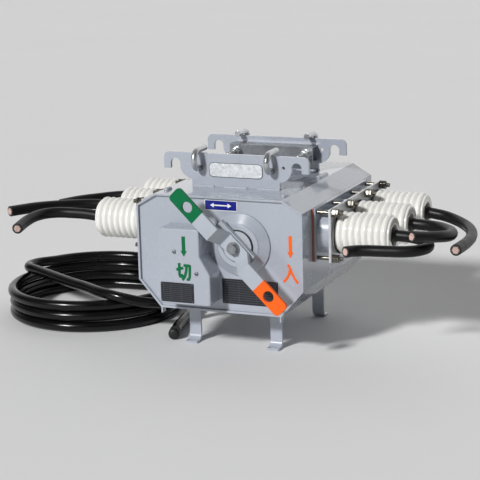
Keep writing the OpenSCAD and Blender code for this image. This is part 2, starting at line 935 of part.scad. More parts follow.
roof_panel();
left_wall();
right_wall();
floor_pan();
front_plate();
back_plate();
front_left_leg();
front_right_leg();
back_left_leg();
back_right_leg();
mechanism_cover();
lever_boss();
lever_shaft();
lever_channel();
lever_strap();
lever_bolt();
front_hanger();
back_hanger();
front_clamp_bar();
back_clamp_bar();
front_left_hook_bolt();
front_right_hook_bolt();
back_left_hook_bolt();
back_right_hook_bolt();
roof_studs();
left_pad();
right_pad();
right_ports();
left_clamp_plate();
right_clamp_plate();
left_clamp_studs();
right_clamp_studs();
left_front_insulator();
left_middle_insulator();
left_back_insulator();
right_front_insulator();
right_middle_insulator();
right_back_insulator();
left_sleeves();
right_sleeves();
cable_gland();
left_front_lead();
left_middle_lead();
left_back_lead();
right_front_lead();
right_middle_lead();
right_back_lead();
control_cable();
control_coil();
control_tail();
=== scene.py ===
"""Finishes a gas load break switch: paint and glaze, cables, position marks, plates and fasteners."""

import json
import math

import bpy
from mathutils import Matrix, Quaternion, Vector


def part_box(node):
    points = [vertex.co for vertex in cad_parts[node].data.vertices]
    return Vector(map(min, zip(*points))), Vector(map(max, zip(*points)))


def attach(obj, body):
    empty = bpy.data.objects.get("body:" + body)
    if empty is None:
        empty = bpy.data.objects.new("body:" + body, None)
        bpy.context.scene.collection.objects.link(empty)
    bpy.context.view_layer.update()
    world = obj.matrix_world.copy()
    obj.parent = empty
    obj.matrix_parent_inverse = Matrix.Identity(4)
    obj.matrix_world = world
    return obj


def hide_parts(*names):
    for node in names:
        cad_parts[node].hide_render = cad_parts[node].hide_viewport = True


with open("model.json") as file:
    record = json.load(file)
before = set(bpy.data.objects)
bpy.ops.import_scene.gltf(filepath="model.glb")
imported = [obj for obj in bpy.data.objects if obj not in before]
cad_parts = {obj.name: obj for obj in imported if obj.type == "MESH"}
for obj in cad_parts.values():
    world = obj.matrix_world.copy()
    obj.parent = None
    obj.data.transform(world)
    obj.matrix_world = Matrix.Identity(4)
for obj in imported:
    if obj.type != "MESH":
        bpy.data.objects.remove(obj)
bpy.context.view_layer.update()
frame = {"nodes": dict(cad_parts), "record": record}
nodes = frame["nodes"]
mounts = {m["name"]: m for m in frame["record"]["mounts"]}
scene = bpy.context.scene

MM = 0.001
BODY = "switch_body"
SIDES = {"left": -1, "right": 1}
ENDS = {"front": -1, "back": 1}
STATIONS = ("front", "middle", "back")

# Middle of the tank's floor, and the front faces that carry marks
TANK = Vector((
    (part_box("left_wall")[0].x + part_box("right_wall")[1].x) / 2,
    (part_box("front_plate")[0].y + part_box("back_plate")[1].y) / 2,
    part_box("front_left_leg")[1].z,
))
FACE_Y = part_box("front_plate")[0].y
COVER_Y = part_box("mechanism_cover")[0].y
HANGER_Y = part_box("front_hanger")[0].y


def front_point(x, y, z):
    """Point on a front plane y, from millimetres sideways and up out of the middle of the tank's floor."""
    return Vector((TANK.x + x * MM, y, TANK.z + z * MM))


def linear(r, g, b):
    """Linear colour of sRGB parts out of 255."""
    parts = [c / 255 for c in (r, g, b)]
    return (*[c / 12.92 if c <= 0.04045 else ((c + 0.055) / 1.055) ** 2.4 for c in parts], 1.0)


class Nodes:
    """Adds nodes to a tree, each with its settings and with what feeds its sockets."""

    def __init__(self, tree):
        self.tree = tree

    def add(self, kind, feeds=None, **settings):
        node = self.tree.nodes.new(kind)
        for key, value in settings.items():
            setattr(node, key, value)
        for socket, value in (feeds or {}).items():
            if isinstance(value, bpy.types.NodeSocket):
                self.tree.links.new(value, node.inputs[socket])
            else:
                node.inputs[socket].default_value = value
        return node


def new_tree(name, kind, inputs, outputs):
    """Node group with named sockets. Returns its nodes, its input node and its output node."""
    tree = bpy.data.node_groups.new(name, kind)
    for label, socket in inputs:
        tree.interface.new_socket(label, in_out="INPUT", socket_type=socket)
    for label, socket in outputs:
        tree.interface.new_socket(label, in_out="OUTPUT", socket_type=socket)
    made = Nodes(tree)
    return made, made.add("NodeGroupInput"), made.add("NodeGroupOutput")


COLOUR, NUMBER, VECTOR = "NodeSocketColor", "NodeSocketFloat", "NodeSocketVector"
GEOMETRY, OBJECT, MATERIAL = "NodeSocketGeometry", "NodeSocketObject", "NodeSocketMaterial"
WHOLE = "NodeSocketInt"


# Shared surface effects

DUST, DUST_SCALE = linear(196, 194, 188), 38.0


def noise_value(n, scale, detail):
    """Smooth noise over an object, in its own coordinates."""
    place = n.add("ShaderNodeTexCoord")
    noise = n.add("ShaderNodeTexNoise", {"Vector": place.outputs["Object"], "Scale": scale, "Detail": detail})
    return noise.outputs[0]


def varied(n, given, value, start, stop):
    """Given colour made lighter and darker as a value runs from start to stop, by the given amount."""
    low = n.add("ShaderNodeMath", {0: 1.0, 1: given.outputs["Amount"]}, operation="SUBTRACT")
    high = n.add("ShaderNodeMath", {0: 1.0, 1: given.outputs["Amount"]}, operation="ADD")
    level = n.add("ShaderNodeMapRange", {
        "Value": value, "From Min": start, "From Max": stop,
        "To Min": low.outputs[0], "To Max": high.outputs[0],
    })
    mixed = n.add("ShaderNodeMix", {
        0: 1.0, 6: given.outputs["Colour"], 7: level.outputs[0],
    }, data_type="RGBA", blend_type="MULTIPLY")
    return mixed.outputs[2]


def tone_drift():
    """Colour that drifts lighter and darker over the surface."""
    n, given, out = new_tree(
        "Tone drift", "ShaderNodeTree",
        [("Colour", COLOUR), ("Scale", NUMBER), ("Amount", NUMBER)], [("Colour", COLOUR)],
    )
    noise = noise_value(n, given.outputs["Scale"], 5.0)
    n.tree.links.new(varied(n, given, noise, 0.3, 0.7), out.inputs["Colour"])
    return n.tree


def settled_dust():
    """Pale dust on faces that look up, thicker in patches."""
    n, given, out = new_tree(
        "Settled dust", "ShaderNodeTree", [("Colour", COLOUR), ("Amount", NUMBER)], [("Colour", COLOUR)],
    )
    facing = n.add("ShaderNodeSeparateXYZ", {0: n.add("ShaderNodeTexCoord").outputs["Normal"]})
    up = n.add("ShaderNodeMapRange", {"Value": facing.outputs["Z"], "From Min": 0.2, "From Max": 1.0})
    patch = n.add("ShaderNodeMapRange", {
        "Value": noise_value(n, DUST_SCALE, 6.0), "From Min": 0.42, "From Max": 0.7,
    })
    both = n.add("ShaderNodeMath", {0: up.outputs[0], 1: patch.outputs[0]}, operation="MULTIPLY")
    mask = n.add("ShaderNodeMath", {0: both.outputs[0], 1: given.outputs["Amount"]}, operation="MULTIPLY")
    mixed = n.add("ShaderNodeMix", {
        0: mask.outputs[0], 6: given.outputs["Colour"], 7: DUST,
    }, data_type="RGBA")
    n.tree.links.new(mixed.outputs[2], out.inputs["Colour"])
    return n.tree


def fine_grain():
    """Normal of a surface with a fine uneven texture and softened edges."""
    n, given, out = new_tree(
        "Fine grain", "ShaderNodeTree", [("Scale", NUMBER), ("Height", NUMBER), ("Edge", NUMBER)],
        [("Normal", VECTOR)],
    )
    noise = noise_value(n, given.outputs["Scale"], 3.0)
    soft = n.add("ShaderNodeBevel", {"Radius": given.outputs["Edge"]}, samples=4)
    bump = n.add("ShaderNodeBump", {
        "Height": noise, "Distance": given.outputs["Height"], "Normal": soft.outputs[0],
    })
    n.tree.links.new(bump.outputs[0], out.inputs["Normal"])
    return n.tree


def rough_patches():
    """Roughness that wanders between two values."""
    n, given, out = new_tree(
        "Rough patches", "ShaderNodeTree",
        [("Low", NUMBER), ("High", NUMBER), ("Scale", NUMBER)], [("Value", NUMBER)],
    )
    level = n.add("ShaderNodeMapRange", {
        "Value": noise_value(n, given.outputs["Scale"], 4.0), "From Min": 0.35, "From Max": 0.65,
        "To Min": given.outputs["Low"], "To Max": given.outputs["High"],
    })
    n.tree.links.new(level.outputs[0], out.inputs["Value"])
    return n.tree


def zinc_spangle():
    """Colour broken into the flakes of a zinc coat."""
    n, given, out = new_tree(
        "Zinc spangle", "ShaderNodeTree",
        [("Colour", COLOUR), ("Scale", NUMBER), ("Amount", NUMBER)], [("Colour", COLOUR)],
    )
    place = n.add("ShaderNodeTexCoord")
    cells = n.add("ShaderNodeTexVoronoi", {
        "Vector": place.outputs["Object"], "Scale": given.outputs["Scale"],
    })
    grey = n.add("ShaderNodeRGBToBW", {0: cells.outputs["Color"]})
    n.tree.links.new(varied(n, given, grey.outputs[0], 0.1, 0.9), out.inputs["Colour"])
    return n.tree


# Radius of softened edges, roughness of a clear coat, and scale of the patches in roughness
EDGE, COAT_ROUGH, PATCH_SCALE = 1.2 * MM, 0.04, 26.0
EFFECTS = {
    "tone": tone_drift(), "dust": settled_dust(), "grain": fine_grain(), "patches": rough_patches(),
    "spangle": zinc_spangle(),
}


def effect(n, name, feeds):
    """Adds a shared effect to a material and returns its first output."""
    return n.add("ShaderNodeGroup", feeds, node_tree=EFFECTS[name]).outputs[0]


def surface(name, colour, rough, tone=(9.0, 0.04), grain=(700.0, 0.00003), dust=0.0, spangle=None,
            metallic=0.0, coat=0.0, shine=0.5, masks=()):
    """Material in one colour with the shared effects.

    rough is the lowest and highest roughness. tone, grain and spangle are each (scale, amount).
    Each mask is (colour, function that makes its factor).
    """
    made = bpy.data.materials.new(name)
    made.use_nodes = True
    made.diffuse_color = colour
    n = Nodes(made.node_tree)
    shader = made.node_tree.nodes["Principled BSDF"]
    shader.inputs["Metallic"].default_value = metallic
    shader.inputs["Specular IOR Level"].default_value = shine
    shader.inputs["Coat Weight"].default_value = coat
    shader.inputs["Coat Roughness"].default_value = COAT_ROUGH
    base = colour
    for other, factor in masks:
        base = n.add("ShaderNodeMix", {0: factor(n), 6: base, 7: other}, data_type="RGBA").outputs[2]
    base = effect(n, "tone", {"Colour": base, "Scale": tone[0], "Amount": tone[1]})
    if spangle:
        base = effect(n, "spangle", {"Colour": base, "Scale": spangle[0], "Amount": spangle[1]})
    if dust:
        base = effect(n, "dust", {"Colour": base, "Amount": dust})
    n.tree.links.new(base, shader.inputs["Base Color"])
    patches = effect(n, "patches", {"Low": rough[0], "High": rough[1], "Scale": PATCH_SCALE})
    n.tree.links.new(patches, shader.inputs["Roughness"])
    normal = effect(n, "grain", {"Scale": grain[0], "Height": grain[1], "Edge": EDGE})
    n.tree.links.new(normal, shader.inputs["Normal"])
    return made


def from_centre(n, centre):
    """Way from a centre to the shaded point."""
    place = n.add("ShaderNodeTexCoord")
    moved = n.add("ShaderNodeVectorMath", {0: place.outputs["Object"], 1: centre}, operation="SUBTRACT")
    return moved.outputs[0]


def along(axis, centre, start):
    """Factor that is 1 beyond start metres from a centre along an axis."""
    def factor(n):
        run = n.add("ShaderNodeVectorMath", {0: from_centre(n, centre), 1: axis}, operation="DOT_PRODUCT")
        beyond = n.add("ShaderNodeMath", {0: run.outputs["Value"], 1: start}, operation="GREATER_THAN")
        return beyond.outputs[0]
    return factor


def gasket_edge(reach, end):
    """Factor that is 1 within reach metres of the tank's middle sideways, and beyond end metres along it."""
    def factor(n):
        size = n.add("ShaderNodeVectorMath", {0: from_centre(n, TANK)}, operation="ABSOLUTE")
        parts = n.add("ShaderNodeSeparateXYZ", {0: size.outputs[0]})
        near = n.add("ShaderNodeMath", {0: parts.outputs["X"], 1: reach}, operation="LESS_THAN")
        far = n.add("ShaderNodeMath", {0: parts.outputs["Y"], 1: end}, operation="GREATER_THAN")
        both = n.add("ShaderNodeMath", {0: near.outputs[0], 1: far.outputs[0]}, operation="MULTIPLY")
        return both.outputs[0]
    return factor


upper_hole = Vector(mounts["upper_lever_hole"]["pos_m"])
lower_hole = Vector(mounts["lower_lever_hole"]["pos_m"])
lever_axis = (upper_hole - lower_hole).normalized()
lever_middle = (upper_hole + lower_hole) / 2
# Where the lever's coloured ends start, and the brown edge of the seal behind each pad
PAINTED_FROM = 87 * MM
GASKET_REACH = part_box("right_wall")[1].x - TANK.x + 5 * MM
PAD_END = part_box("right_pad")[1].y - TANK.y - 0.5 * MM

GREEN, ORANGE = linear(0, 108, 64), linear(250, 104, 28)
paint = surface("tank_paint", linear(170, 176, 187), (0.2, 0.3), tone=(7.0, 0.03), dust=0.05, coat=1.0)
pad_paint = surface(
    "pad_paint", linear(160, 166, 176), (0.34, 0.46), coat=0.6,
    masks=[(linear(150, 92, 70), gasket_edge(GASKET_REACH, PAD_END))],
)
galvanised = surface(
    "galvanised", linear(150, 153, 158), (0.32, 0.5), tone=(18.0, 0.1), spangle=(140.0, 0.1), metallic=0.7,
)
bright_zinc = surface("bright_zinc", linear(204, 206, 208), (0.2, 0.34), tone=(30.0, 0.1), metallic=0.85)
stud_zinc = surface("stud_zinc", linear(118, 115, 108), (0.26, 0.44), tone=(120.0, 0.3), metallic=1.0)
lever_zinc = surface("lever_zinc", linear(176, 182, 190), (0.3, 0.45), tone=(24.0, 0.05), coat=0.5)
lever_paint = surface(
    "lever_paint", linear(178, 184, 193), (0.3, 0.45), tone=(24.0, 0.04), shine=0.2,
    masks=[
        (GREEN, along(lever_axis, lever_middle, PAINTED_FROM)),
        (ORANGE, along(-lever_axis, lever_middle, PAINTED_FROM)),
    ],
)
glaze = surface(
    "glaze", linear(243, 242, 237), (0.1, 0.2), tone=(16.0, 0.02), grain=(160.0, 0.00006), coat=0.6,
)
rubber = surface("rubber", linear(22, 22, 24), (0.5, 0.7), tone=(30.0, 0.2), grain=(1200.0, 0.00008))
sheath = surface(
    "sheath", linear(13, 13, 14), (0.17, 0.28), tone=(22.0, 0.2), grain=(500.0, 0.00004), shine=0.32,
)
lead_sheath = surface(
    "lead_sheath", linear(15, 15, 16), (0.36, 0.5), tone=(22.0, 0.2), grain=(500.0, 0.00006), shine=0.28,
)
insulation = surface("insulation", linear(74, 72, 72), (0.5, 0.6), tone=(60.0, 0.1))
copper = surface("copper", linear(230, 198, 187), (0.28, 0.45), tone=(90.0, 0.14), metallic=0.35)
green_mark = surface("green_mark", GREEN, (0.35, 0.5), tone=(40.0, 0.05), shine=0.2)
orange_mark = surface("orange_mark", ORANGE, (0.35, 0.5), tone=(40.0, 0.05), shine=0.2)
plate_black = surface("plate_black", linear(38, 40, 46), (0.3, 0.45), tone=(50.0, 0.12), metallic=0.2)
plate_lines = surface("plate_lines", linear(92, 96, 104), (0.35, 0.5), tone=(50.0, 0.06), metallic=0.3)
label_blue = surface("label_blue", linear(12, 24, 132), (0.3, 0.4), tone=(40.0, 0.05))
label_white = surface("label_white", linear(240, 240, 240), (0.3, 0.4), tone=(40.0, 0.02))
name_white = surface(
    "name_white", linear(228, 231, 234), (0.22, 0.42), tone=(150.0, 0.16), grain=(190.0, 0.0016),
    metallic=0.35,
)
# Lighter copy of the galvanised finish for the clamp plates: painted light for their frontally lit, white
# look
lit_clamp_zinc = surface(
    "lit_clamp_zinc", linear(208, 210, 214), (0.3, 0.46), tone=(20.0, 0.06), spangle=(120.0, 0.06), metallic=0.35,
)
weld = surface("weld", linear(170, 175, 185), (0.35, 0.5), tone=(60.0, 0.06))

FINISHES = {
    "tank_paint": paint, "galvanised": galvanised, "plated_steel": bright_zinc, "glazed_ceramic": glaze,
    "black_rubber": rubber, "cable_sheath": sheath, "lever_steel": lever_zinc,
}
OWN_FINISH = {
    "left_pad": pad_paint, "right_pad": pad_paint, "left_clamp_plate": lit_clamp_zinc,
    "right_clamp_plate": lit_clamp_zinc, "lever_strap": lever_paint, "lever_bolt": galvanised,
}
for subpart in frame["record"]["subparts"]:
    node = nodes[subpart["node"]]
    finish = OWN_FINISH.get(subpart["node"], FINISHES[subpart["material_slot"]])
    for slot in node.material_slots:
        slot.material = finish


# Shapes, each a list of points and a list of faces

def lathe(profile, segments=48):
    """Solid turned round Z from (radius, height) points, from the bottom's middle to the top's middle."""
    points, faces, rings = [], [], []
    for radius, height in profile:
        count = 1 if radius < 1e-7 else segments
        rings.append(range(len(points), len(points) + count))
        for i in range(count):
            turn = 2 * math.pi * i / segments
            points.append(Vector((radius * math.cos(turn), radius * math.sin(turn), height)))
    for a, b in zip(rings, rings[1:]):
        for i in range(segments):
            j = (i + 1) % segments
            if len(a) == 1:
                faces.append((a[0], b[j], b[i]))
            elif len(b) == 1:
                faces.append((a[i], a[j], b[0]))
            else:
                faces.append((a[i], a[j], b[j], b[i]))
    return points, faces


def ring(inner, outer, low, high, edge, segments=48):
    """Washer-like ring with bevelled outer edges."""
    profile = [
        (inner, low), (outer - edge, low), (outer, low + edge), (outer, high - edge), (outer - edge, high),
        (inner, high),
    ]
    points, faces = lathe(profile, segments)
    last = (len(profile) - 1) * segments
    for i in range(segments):
        j = (i + 1) % segments
        faces.append((last + i, last + j, j, i))
    return points, faces


def nut(flats, bore, height, segments=48):
    """Hexagon nut with its corners chamfered at both ends."""
    reach = [flats / 2 / math.cos((2 * math.pi * i / segments + math.pi / 6) % (math.pi / 3) - math.pi / 6)
             for i in range(segments)]
    round_r = flats / 2 * 0.97
    drop = [max(0.0, r - round_r) * 0.55 for r in reach]
    rings = [
        [(bore, 0.0)] * segments, [(round_r, 0.0)] * segments, list(zip(reach, drop)),
        [(r, height - d) for r, d in zip(reach, drop)], [(round_r, height)] * segments,
        [(bore, height)] * segments,
    ]
    points = []
    for row in rings:
        for i, (radius, level) in enumerate(row):
            turn = 2 * math.pi * i / segments
            points.append(Vector((radius * math.cos(turn), radius * math.sin(turn), level)))
    faces = []
    for k in range(len(rings)):
        a, b = k * segments, (k + 1) % len(rings) * segments
        for i in range(segments):
            j = (i + 1) % segments
            faces.append((a + i, a + j, b + j, b + i))
    return points, faces


def prism(outline, low, high):
    """Solid between two levels over an anticlockwise outline in X and Y."""
    count = len(outline)
    points = [Vector((x, y, z)) for z in (low, high) for x, y in outline]
    faces = [tuple(range(count - 1, -1, -1)), tuple(range(count, 2 * count))]
    for i in range(count):
        j = (i + 1) % count
        faces.append((i, j, count + j, count + i))
    return points, faces


def stroke(path, width):
    """Outline of a brush stroke of even width along a path in X and Y."""
    left, right = [], []
    for i, p in enumerate(path):
        before = Vector(path[max(i - 1, 0)])
        after = Vector(path[min(i + 1, len(path) - 1)])
        run = (after - before).normalized()
        side = Vector((-run.y, run.x)) * width / 2
        left.append(tuple(Vector(p) + side))
        right.append(tuple(Vector(p) - side))
    return right + left[::-1]


def rounded_box(x0, y0, x1, y1, radius, steps=6):
    """Anticlockwise outline of a rectangle with round corners."""
    outline = []
    for k, (x, y) in enumerate(((x1 - radius, y1 - radius), (x0 + radius, y1 - radius),
                                (x0 + radius, y0 + radius), (x1 - radius, y0 + radius))):
        for s in range(steps + 1):
            turn = math.pi / 2 * (k + s / steps)
            outline.append((x + radius * math.cos(turn), y + radius * math.sin(turn)))
    return outline


def joined(shapes):
    """Several shapes as one."""
    points, faces = [], []
    for some_points, some_faces in shapes:
        start = len(points)
        points += some_points
        faces += [tuple(start + i for i in face) for face in some_faces]
    return points, faces


def placed(shape, matrix):
    """Shape moved by a matrix."""
    return [matrix @ p for p in shape[0]], shape[1]


def looking(axis, origin):
    """Matrix that turns Z to an axis and moves to an origin."""
    turn = Vector(axis).to_track_quat("Z", "Y").to_matrix().to_4x4()
    return Matrix.Translation(origin) @ turn


def on_front(y):
    """Matrix for outlines in X and height, in millimetres from the tank's floor, drawn on a front plane."""
    turn = Matrix(((1, 0, 0, 0), (0, 0, -1, 0), (0, 1, 0, 0), (0, 0, 0, 1)))
    return Matrix.Translation((TANK.x, y, TANK.z)) @ turn @ Matrix.Scale(MM, 4)


def as_object(name, data):
    """Object of some data, linked into the scene."""
    made = bpy.data.objects.new(name, data)
    scene.collection.objects.link(made)
    return made


def mesh_of(name, shape):
    """Mesh of a shape."""
    mesh = bpy.data.meshes.new(name)
    mesh.from_pydata([tuple(p) for p in shape[0]], [], shape[1])
    return mesh


def settled(name, mesh, smooth=35, node=None):
    """Object of a finished mesh, shaded and on its body; hides the node it stands for, if one is named."""
    mesh.shade_smooth()
    mesh.set_sharp_from_angle(angle=math.radians(smooth))
    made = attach(as_object(name, mesh), BODY)
    if node:
        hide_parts(node)
    return made


def piece(name, shape, material, smooth=35, node=None):
    """Piece of the switch that rides on its body, and that stands for a node if one is named."""
    mesh = mesh_of(name, shape)
    mesh.materials.append(material)
    return settled(name, mesh, smooth, node)


def outer_x(name, sign):
    """X of a node's face that looks to the side that the sign gives."""
    low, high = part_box(name)
    return high.x if sign > 0 else low.x


# Growing trees for what repeats or follows a path

def finished_tree(n, given, out, grown_node):
    """Ends a tree: what it grew becomes one mesh in the given material."""
    solid = n.add("GeometryNodeRealizeInstances", {"Geometry": grown_node.outputs[0]})
    painted = n.add("GeometryNodeSetMaterial", {
        "Geometry": solid.outputs[0], "Material": given.outputs["Material"],
    })
    n.tree.links.new(painted.outputs[0], out.inputs["Geometry"])
    return n.tree


def set_out_tree():
    """Sets a part on each point, with its Z along the point's axis."""
    n, given, out = new_tree(
        "Set out", "GeometryNodeTree",
        [("Geometry", GEOMETRY), ("Part", OBJECT), ("Spin", NUMBER), ("Material", MATERIAL)],
        [("Geometry", GEOMETRY)],
    )
    part = n.add("GeometryNodeObjectInfo", {"Object": given.outputs["Part"]}, transform_space="ORIGINAL")
    axis = n.add("GeometryNodeInputNamedAttribute", {"Name": "axis"}, data_type="FLOAT_VECTOR")
    aligned = n.add("FunctionNodeAlignRotationToVector", {"Vector": axis.outputs["Attribute"]}, axis="Z")
    chance = n.add("FunctionNodeRandomValue", {
        2: 0.0, 3: given.outputs["Spin"], "Seed": 4,
    }, data_type="FLOAT")
    spin = n.add("FunctionNodeAxisAngleToRotation", {"Axis": (0, 0, 1), "Angle": chance.outputs[1]})
    turn = n.add("FunctionNodeRotateRotation", {
        "Rotation": aligned.outputs[0], "Rotate By": spin.outputs[0],
    }, rotation_space="LOCAL")
    copies = n.add("GeometryNodeInstanceOnPoints", {
        "Points": given.outputs["Geometry"], "Instance": part.outputs["Geometry"],
        "Rotation": turn.outputs[0],
    })
    return finished_tree(n, given, out, copies)


def threaded_rod_tree():
    """Round rod along Z with a screw thread wound on it."""
    n, given, out = new_tree(
        "Threaded rod", "GeometryNodeTree",
        [("Geometry", GEOMETRY), ("Radius", NUMBER), ("Length", NUMBER), ("Pitch", NUMBER),
         ("Depth", NUMBER), ("Material", MATERIAL)],
        [("Geometry", GEOMETRY)],
    )
    turns = n.add("ShaderNodeMath", {
        0: given.outputs["Length"], 1: given.outputs["Pitch"],
    }, operation="DIVIDE")
    helix = n.add("GeometryNodeCurveSpiral", {
        "Resolution": 20, "Rotations": turns.outputs[0], "Start Radius": given.outputs["Radius"],
        "End Radius": given.outputs["Radius"], "Height": given.outputs["Length"],
    })
    ridge = n.add("GeometryNodeCurvePrimitiveCircle", {"Resolution": 4, "Radius": given.outputs["Depth"]})
    thread = n.add("GeometryNodeCurveToMesh", {
        "Curve": helix.outputs[0], "Profile Curve": ridge.outputs[0], "Fill Caps": True,
    })
    rod = n.add("GeometryNodeMeshCylinder", {
        "Vertices": 24, "Radius": given.outputs["Radius"], "Depth": given.outputs["Length"],
    })
    half = n.add("ShaderNodeMath", {0: given.outputs["Length"], 1: 0.5}, operation="MULTIPLY")
    lift = n.add("ShaderNodeCombineXYZ", {"Z": half.outputs[0]})
    standing = n.add("GeometryNodeTransform", {
        "Geometry": rod.outputs["Mesh"], "Translation": lift.outputs[0],
    })
    both = n.add("GeometryNodeJoinGeometry")
    n.tree.links.new(thread.outputs[0], both.inputs[0])
    n.tree.links.new(standing.outputs[0], both.inputs[0])
    return finished_tree(n, given, out, both)


def weld_bead_tree():
    """Row of overlapping beads along a line."""
    n, given, out = new_tree(
        "Weld bead", "GeometryNodeTree",
        [("Geometry", GEOMETRY), ("Pitch", NUMBER), ("Width", NUMBER), ("Material", MATERIAL)],
        [("Geometry", GEOMETRY)],
    )
    line = n.add("GeometryNodeMeshToCurve", {"Mesh": given.outputs["Geometry"]})
    spaced = n.add("GeometryNodeResampleCurve", {
        "Curve": line.outputs[0], "Length": given.outputs["Pitch"],
    }, mode="LENGTH")
    tangent = n.add("GeometryNodeInputTangent")
    aligned = n.add("FunctionNodeAlignRotationToVector", {"Vector": tangent.outputs[0]}, axis="X")
    bead = n.add("GeometryNodeMeshIcoSphere", {"Radius": 1.0, "Subdivisions": 2})
    chance = n.add("FunctionNodeRandomValue", {2: 0.42, 3: 0.56, "Seed": 9}, data_type="FLOAT")
    size = n.add("ShaderNodeMath", {0: chance.outputs[1], 1: given.outputs["Width"]}, operation="MULTIPLY")
    copies = n.add("GeometryNodeInstanceOnPoints", {
        "Points": spaced.outputs[0], "Instance": bead.outputs["Mesh"], "Rotation": aligned.outputs[0],
        "Scale": size.outputs[0],
    })
    return finished_tree(n, given, out, copies)


def ruled_rows_tree():
    """Rows of thin bars, one below another."""
    n, given, out = new_tree(
        "Ruled rows", "GeometryNodeTree",
        [("Geometry", GEOMETRY), ("Rows", WHOLE), ("Spacing", NUMBER), ("Size", VECTOR),
         ("Material", MATERIAL)],
        [("Geometry", GEOMETRY)],
    )
    step = n.add("ShaderNodeMath", {0: given.outputs["Spacing"], 1: -1.0}, operation="MULTIPLY")
    offset = n.add("ShaderNodeCombineXYZ", {"Z": step.outputs[0]})
    rows = n.add("GeometryNodeMeshLine", {"Count": given.outputs["Rows"], "Offset": offset.outputs[0]})
    bar = n.add("GeometryNodeMeshCube", {"Size": given.outputs["Size"]})
    copies = n.add("GeometryNodeInstanceOnPoints", {
        "Points": rows.outputs[0], "Instance": bar.outputs["Mesh"],
    })
    return finished_tree(n, given, out, copies)


SET_OUT, THREADED_ROD = set_out_tree(), threaded_rod_tree()
WELD_BEAD, RULED_ROWS = weld_bead_tree(), ruled_rows_tree()


def grown(name, tree, values, points=(), edges=(), axes=()):
    """Mesh that a growing tree makes on points, or on lines between them."""
    seed_mesh = bpy.data.meshes.new(name + "_seed")
    seed_mesh.from_pydata([tuple(p) for p in points], list(edges), [])
    if axes:
        attribute = seed_mesh.attributes.new("axis", "FLOAT_VECTOR", "POINT")
        for item, axis in zip(attribute.data, axes):
            item.vector = axis
    seed = as_object(name + "_seed", seed_mesh)
    growth = seed.modifiers.new("growth", "NODES")
    growth.node_group = tree
    for item in tree.interface.items_tree:
        if item.item_type == "SOCKET" and item.in_out == "INPUT" and item.name in values:
            growth[item.identifier] = values[item.name]
    bpy.context.view_layer.update()
    mesh = bpy.data.meshes.new_from_object(seed.evaluated_get(bpy.context.evaluated_depsgraph_get()))
    mesh.name = name
    bpy.data.objects.remove(seed)
    bpy.data.meshes.remove(seed_mesh)
    return mesh


def set_out(name, shape, places, material, spin=0.0, smooth=35, node=None):
    """Piece made of copies of a shape, one on each (point, axis)."""
    mesh = mesh_of(name + "_part", shape)
    part = as_object(name + "_part", mesh)
    made = grown(
        name, SET_OUT, {"Part": part, "Spin": spin, "Material": material},
        [p for p, _ in places], axes=[a for _, a in places],
    )
    bpy.data.objects.remove(part)
    bpy.data.meshes.remove(mesh)
    return settled(name, made, smooth, node)


def rod_shape(radius, length, pitch, depth):
    """Shape of a threaded rod along Z."""
    mesh = grown("rod", THREADED_ROD, {
        "Radius": radius, "Length": length, "Pitch": pitch, "Depth": depth, "Material": bright_zinc,
    })
    shape = [v.co.copy() for v in mesh.vertices], [tuple(p.vertices) for p in mesh.polygons]
    bpy.data.meshes.remove(mesh)
    return shape


# Cables

LEAD_D, CONTROL_D = 22 * MM, 22 * MM
# Routes of the leads in millimetres, from the end of each sleeve
LEAD_ROUTES = {
    "right_front": [(0, 0, 0), (28, -2, -1), (52, -11, -3), (70, -30, -5), (76, -56, -6), (65, -79, -7),
                    (40, -92, -8), (7, -98, -8), (-26, -103, -8), (-48, -111, -8), (-60, -128, -7)],
    "right_middle": [(0, 0, 0), (30, -3, -1), (58, -17, 0), (83, -45, 2), (101, -84, 6), (106, -123, 10),
                     (96, -158, 15), (79, -188, 20), (62, -214, 25)],
    "right_back": [(0, 0, 0), (32, -4, -4), (61, -20, -8), (89, -52, -10), (111, -94, -10), (125, -142, -10),
                   (131, -190, -9), (133, -236, -7), (132, -276, -6)],
    "left_front": [(0, 0, 0), (-32, -1, 3), (-62, -4, 4), (-90, -12, 5), (-111, -29, 5), (-121, -55, 4),
                   (-122, -84, 2), (-118, -114, 0), (-112, -144, -2)],
    "left_middle": [(0, 0, 0), (-33, -2, 0), (-68, -12, 2), (-104, -32, 3), (-135, -57, 4), (-160, -84, 5),
                    (-179, -111, 5), (-195, -138, 5)],
    "left_back": [(0, 0, 0), (-36, -2, -1), (-68, -12, -2), (-98, -30, -4), (-123, -52, -5), (-142, -76, -6),
                  (-156, -100, -7)],
}
# Control cable across the coil to its top turn, and its tail, with heights above the floor
CONTROL_ROUTE = [
    (-110, 16, 49), (-130, 12, 49), (-152, -10, 50), (-170, -42, 52), (-188, -76, 56), (-212, -105, 62),
    (-245, -122, 71), (-280, -124, 77), (-318, -109, 78), (-360, -83, 78), (-405, -58, 77), (-450, -32, 77),
    (-495, -5, 77), (-537, 20, 77), (-561, 33, 77), (-574, 49, 77), (-575, 68, 77), (-567, 88, 77),
    (-546, 110, 77), (-518, 146, 77), (-481, 174, 77), (-439, 192, 77),
]
TAIL_ROUTE = [
    (-345, 202, 11), (-296, 189, 11), (-252, 162, 11), (-210, 127, 11), (-180, 78, 11), (-167, 21, 11),
    (-160, -35, 11), (-149, -87, 11), (-135, -134, 11),
]
COIL_CENTRE, COIL_R, COIL_TURNS = (-393, 21), 177, 3
# Height of the top turn, angle over which a turn steps down onto the next, and angle between points
COIL_TOP, STEP_TURN, RING_STEP = 77, 90, 10
# Unevenness of the turns: sway of each, its shift from turn to turn, and how far each lies out of line
COIL_SWAY, SWAY_SHIFT, TURN_OFFSETS = 1.2, 70, (0.9, -1.1, 0.8)
# Wires in a cut end: rings round the middle one, radius, spacing, and radius of their insulation
WIRE_RINGS, WIRE_R, WIRE_PITCH, LAYER_R = 3, 1.0 * MM, 2.02 * MM, 8.6 * MM


